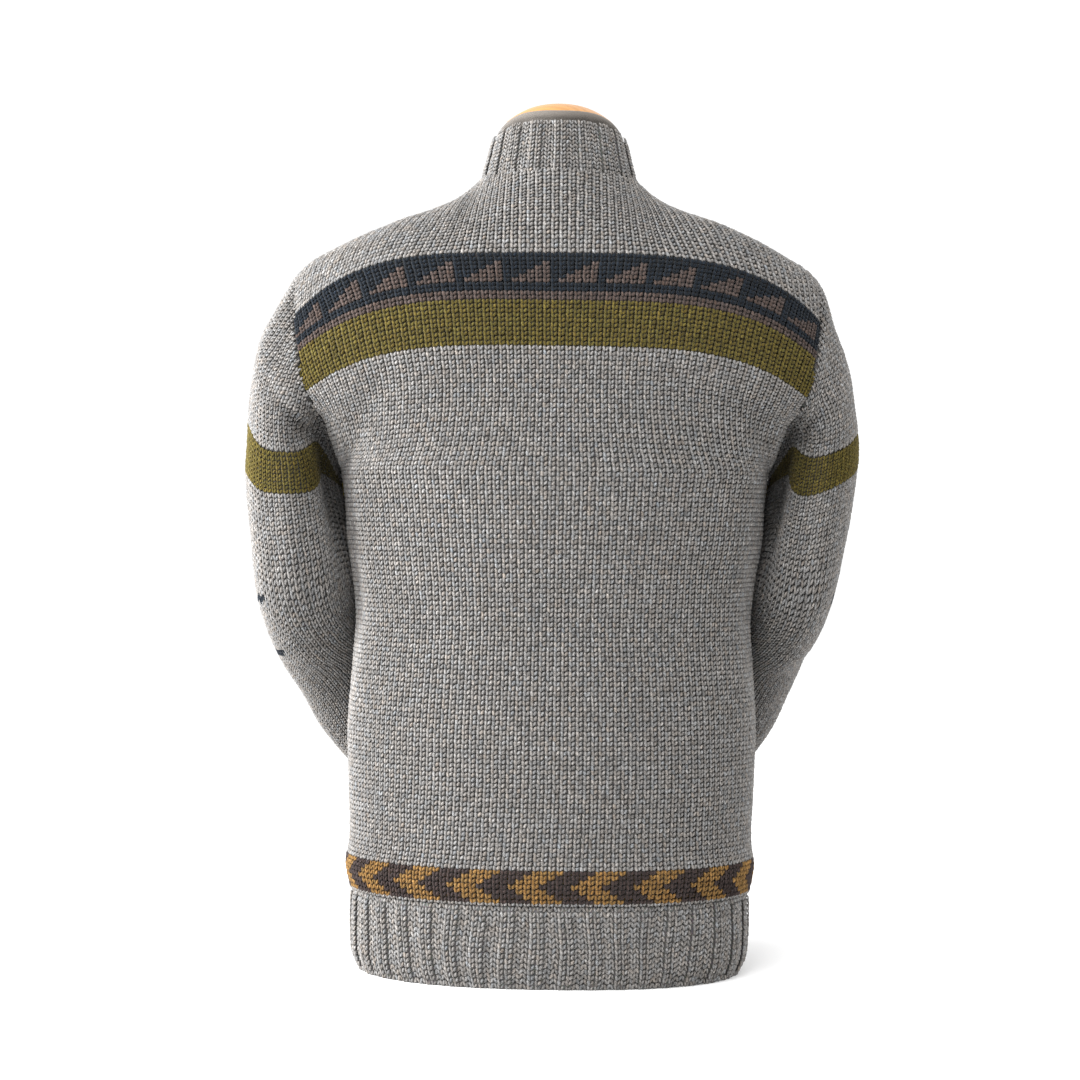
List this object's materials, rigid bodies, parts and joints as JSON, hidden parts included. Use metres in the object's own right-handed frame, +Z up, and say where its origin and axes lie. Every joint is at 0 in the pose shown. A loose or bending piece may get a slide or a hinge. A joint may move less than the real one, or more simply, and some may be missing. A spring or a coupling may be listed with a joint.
{
  "type": "wool sweater on dress form",
  "caption": "Heavy ribbed mock-neck wool sweater with a chevron band over the hem and a patterned yoke band, filled out by a limbless dress form with a turned wooden neck cap.",
  "frame": {"origin": "centre of the dress form's flat underside, on the floor", "axes": "+Z up; the garment's back faces -Y and its front +Y; +X is to the right for someone who looks at the back"},
  "size_m": [0.5136, 0.2978, 0.728],
  "materials": {
    "grey_wool": "thick heather-grey wool knit, matt and slightly hairy",
    "lining_cloth": "smooth dark taupe jersey",
    "form_cover": "matt natural cotton cover",
    "neck_cap_wood": "satin-varnished warm wood"
  },
  "bodies": {
    "root": {"back_panel": "grey_wool", "front_panel": "grey_wool", "hem_rib_back": "grey_wool", "hem_rib_front": "grey_wool", "sleeve_left": "grey_wool", "sleeve_right": "grey_wool", "cuff_left": "grey_wool", "cuff_right": "grey_wool", "collar": "grey_wool", "collar_lining": "lining_cloth", "form_body": "form_cover", "form_neck_cap": "neck_cap_wood"}
  },
  "joints": []
}
